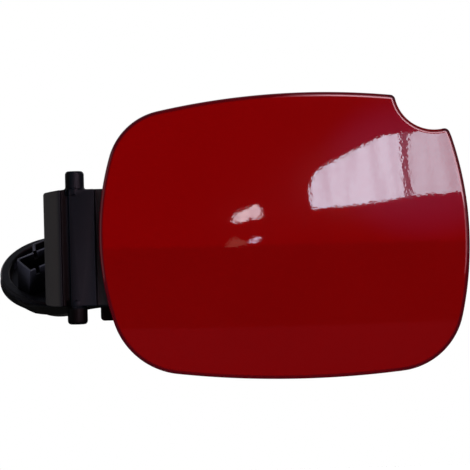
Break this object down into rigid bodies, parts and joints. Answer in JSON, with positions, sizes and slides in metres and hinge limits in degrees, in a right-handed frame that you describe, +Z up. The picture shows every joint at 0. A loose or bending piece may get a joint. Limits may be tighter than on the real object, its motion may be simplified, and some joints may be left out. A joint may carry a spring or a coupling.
{
  "type": "car fuel door",
  "caption": "Domed car fuel door with a finger notch, ribbed inner frame, swan-neck hinge arm with two trunnions and a tethered bayonet filler cap.",
  "frame": {"origin": "middle of the lower trunnion, on the hinge axis", "axes": "+Z up the hinge axis through the upper trunnion, +X along the closed door from the hinge to the finger notch, +Y inwards, away from the painted face"},
  "size_m": [0.25, 0.0995, 0.1474],
  "materials": {
    "body_paint": "deep red body paint under clear coat",
    "frame_plastic": "fine moulded grain",
    "arm_plastic": "fine moulded grain",
    "tether_plastic": "smooth flexible plastic",
    "cap_plastic": "satin moulded",
    "core_plastic": "smooth moulded",
    "pale_plastic": "smooth moulded",
    "rubber": "matt",
    "zinc_steel": "zinc plated",
    "spring_steel": "drawn wire"
  },
  "bodies": {
    "door": {"outer_panel": "body_paint", "inner_frame": "frame_plastic", "hinge_arm": "arm_plastic", "frame_screw_1": "zinc_steel", "frame_screw_2": "zinc_steel", "frame_screw_3": "zinc_steel", "frame_screw_4": "zinc_steel", "arm_screw_1": "zinc_steel", "arm_screw_2": "zinc_steel", "lock_striker": "zinc_steel", "striker_rivet_1": "zinc_steel", "striker_rivet_2": "zinc_steel", "bump_stop_upper": "rubber", "bump_stop_lower": "rubber", "tether_peg": "arm_plastic"},
    "tether": {"tether": "tether_plastic"},
    "cap": {"cap_cover": "cap_plastic", "cap_core": "core_plastic", "cap_gasket": "rubber", "valve_retainer": "pale_plastic", "valve_spring": "spring_steel"},
    "valve": {"valve_plate": "pale_plastic", "valve_seal": "rubber"}
  },
  "joints": [
    {"name": "tether_swivel", "type": "hinge", "parent": "door", "child": "tether", "pos_m": [0.018, 0.01655, 0.00525], "axis": [0, 1, 0], "range_deg": [-115, 60]},
    {"name": "cap_turn", "type": "hinge", "parent": "tether", "child": "cap", "pos_m": [-0.0134, 0.056, 0.01765], "axis": [0, -0.5519, 0.8339], "continuous": true},
    {"name": "valve_lift", "type": "slide", "parent": "cap", "child": "valve", "axis": [0, -0.5519, 0.8339], "range_m": [0, 0.0015], "stiffness_N_per_m": 300, "springref_m": -0.002, "deforming": ["valve_spring"]}
  ]
}
